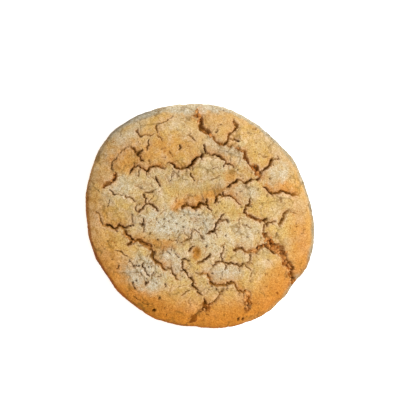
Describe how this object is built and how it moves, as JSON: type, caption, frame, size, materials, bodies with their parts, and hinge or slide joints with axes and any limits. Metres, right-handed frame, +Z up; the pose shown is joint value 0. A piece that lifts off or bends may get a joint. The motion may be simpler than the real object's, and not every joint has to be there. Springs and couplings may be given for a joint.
{
  "type": "sugar cookie",
  "caption": "Thick round sugar cookie with a domed, cracked, golden-brown top and a flat baked underside, lying ready to be picked up and eaten.",
  "frame": {"origin": "centre of the cookie's bounding box in plan, on the flat underside", "axes": "+Z up through the domed top, square to the flat underside; +X and +Y lie in the underside"},
  "size_m": [0.0828, 0.079, 0.0134],
  "materials": {
    "crust": "matt baked crust, golden brown with paler and darker patches"
  },
  "bodies": {
    "root": {"cookie": "crust"}
  },
  "joints": []
}
